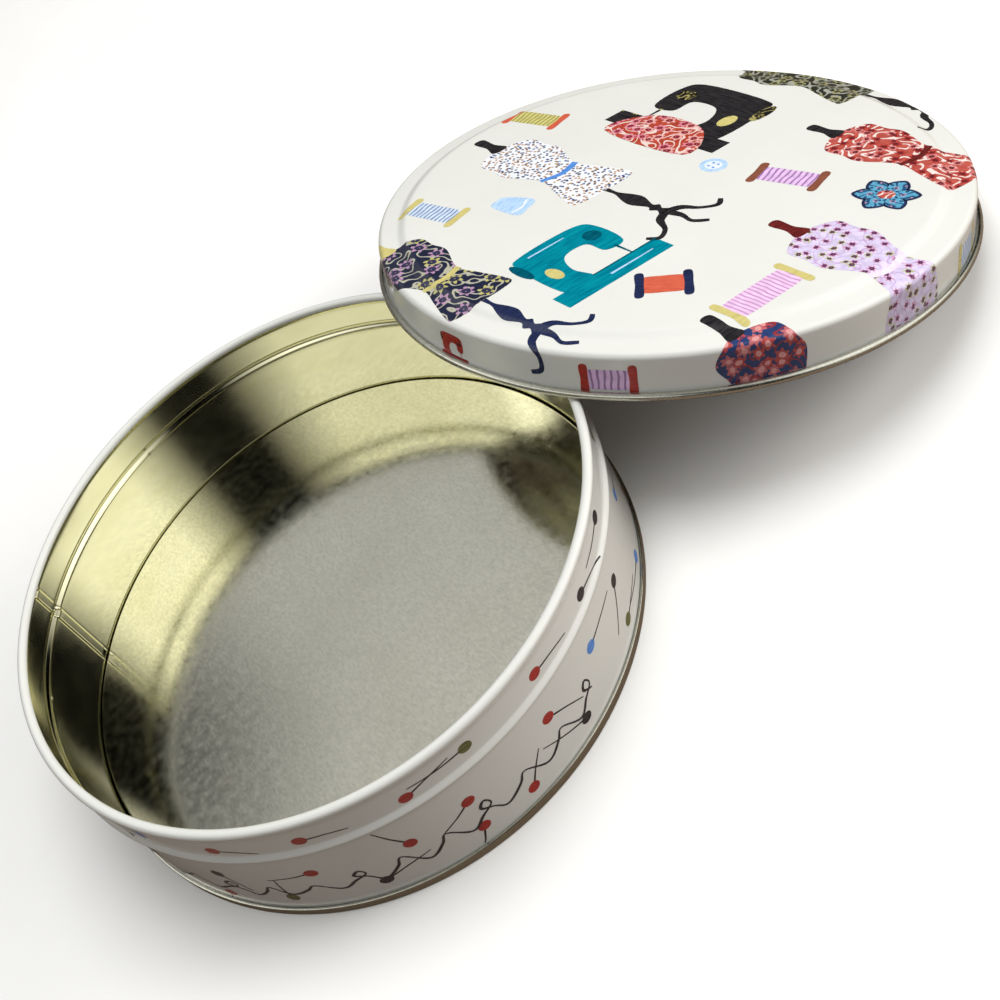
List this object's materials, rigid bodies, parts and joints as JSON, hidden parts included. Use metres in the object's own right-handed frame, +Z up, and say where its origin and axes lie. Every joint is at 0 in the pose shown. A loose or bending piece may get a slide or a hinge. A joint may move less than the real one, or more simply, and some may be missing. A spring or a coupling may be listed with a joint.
{
  "type": "round sewing tin",
  "caption": "Round tinplate bobbin box standing open, with its shallow slip-on lid leaning on the curled rim.",
  "frame": {"origin": "on the table, at the middle in plan of the open tin and its leaning lid together", "axes": "+Z up, +X from the open tin to its lid, -Y towards the viewer"},
  "size_m": [0.279, 0.1548, 0.0547],
  "materials": {
    "printed_tinplate": "gloss lacquer",
    "bare_tinplate": "satin tinplate"
  },
  "bodies": {
    "tin": {"body_wall": "printed_tinplate", "bottom_end": "bare_tinplate"},
    "lid": {"lid": "printed_tinplate"}
  },
  "joints": [
    {"name": "lid_lift", "type": "slide", "parent": "tin", "child": "lid", "axis": [0, 0, 1], "range_m": [0, 0.1]}
  ]
}
